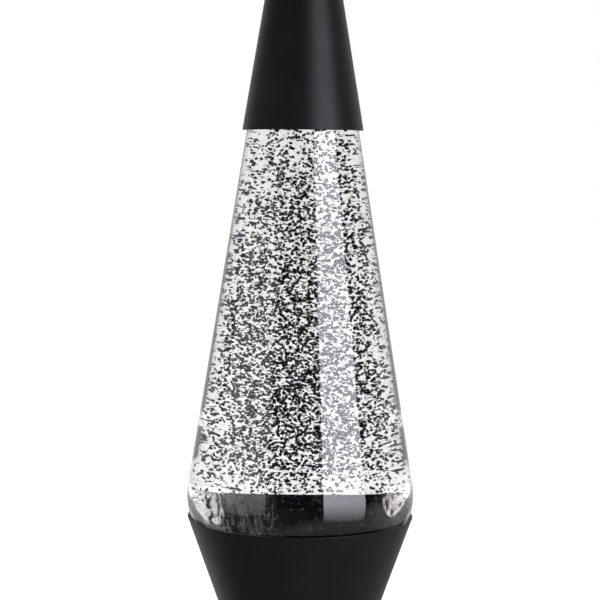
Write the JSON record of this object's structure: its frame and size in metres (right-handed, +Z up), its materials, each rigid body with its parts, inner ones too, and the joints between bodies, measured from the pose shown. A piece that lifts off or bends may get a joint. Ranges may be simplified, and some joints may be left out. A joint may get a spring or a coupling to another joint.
{
  "type": "glitter lava lamp",
  "caption": "Table lamp with a tapered bottle of clear liquid and glitter standing in an hourglass metal base over a small bulb, under a loose metal cap.",
  "frame": {"origin": "on the table, under the lamp's centre line, at the underside of the rubber foot ring", "axes": "+Z up along the lamp's centre line, +Y towards the cord inlet at the back, +X to the right seen from the front"},
  "size_m": [0.1, 0.1, 0.3683],
  "materials": {
    "satin_black": "satin black paint on spun aluminium",
    "clear_glass": "clear polished",
    "bulb_glass": "clear thin blown",
    "clear_liquid": "clear water-thin liquid",
    "glitter": "black metallised film flakes",
    "tinplate": "bright tinplate",
    "zinc_steel": "zinc plated",
    "brass": "pressed, slightly dull",
    "solder": "dull solder",
    "tungsten": "dark drawn wire",
    "phenolic": "dark brown moulded",
    "black_glass": "black vitreous insulator",
    "black_plastic": "fine matt moulded",
    "black_rubber": "matt",
    "liner": "soft white liner",
    "black_wire": "PVC insulation",
    "white_wire": "PVC insulation",
    "nylon": "translucent natural nylon"
  },
  "bodies": {
    "base": {"base_cup": "satin_black", "base_skirt": "satin_black", "waist_collar": "zinc_steel", "waist_nut": "zinc_steel", "socket_bracket": "zinc_steel", "socket_body": "phenolic", "socket_shell": "brass", "socket_contact": "brass", "socket_screw_left": "zinc_steel", "socket_screw_right": "zinc_steel", "base_plate": "black_plastic", "plate_screw": "zinc_steel", "plate_washer": "zinc_steel", "plate_nut": "zinc_steel", "foot_ring": "black_rubber", "inlet_grommet": "black_rubber", "lead_live": "black_wire", "lead_neutral": "white_wire", "crimp_live": "nylon", "crimp_neutral": "nylon"},
    "bulb": {"bulb_glass": "bulb_glass", "bulb_shell": "brass", "bulb_insulator": "black_glass", "bulb_tip": "solder", "bulb_stem": "bulb_glass", "bulb_support_left": "zinc_steel", "bulb_support_right": "zinc_steel", "bulb_filament": "tungsten"},
    "bottle": {"bottle_glass": "clear_glass", "liquid_fill": "clear_liquid", "crown_cap": "tinplate", "crown_liner": "liner"},
    "cap": {"cap_shell": "satin_black"}
  },
  "joints": [
    {"name": "bottle_lift", "type": "slide", "parent": "base", "child": "bottle", "axis": [0, 0, 1], "range_m": [0, 0.12]},
    {"name": "cap_lift", "type": "slide", "parent": "bottle", "child": "cap", "axis": [0, 0, 1], "range_m": [0, 0.08]},
    {"name": "bulb_turn", "type": "hinge", "parent": "base", "child": "bulb", "pos_m": [0, 0, 0.06], "axis": [0, 0, 1], "range_deg": [0, 1080]}
  ]
}
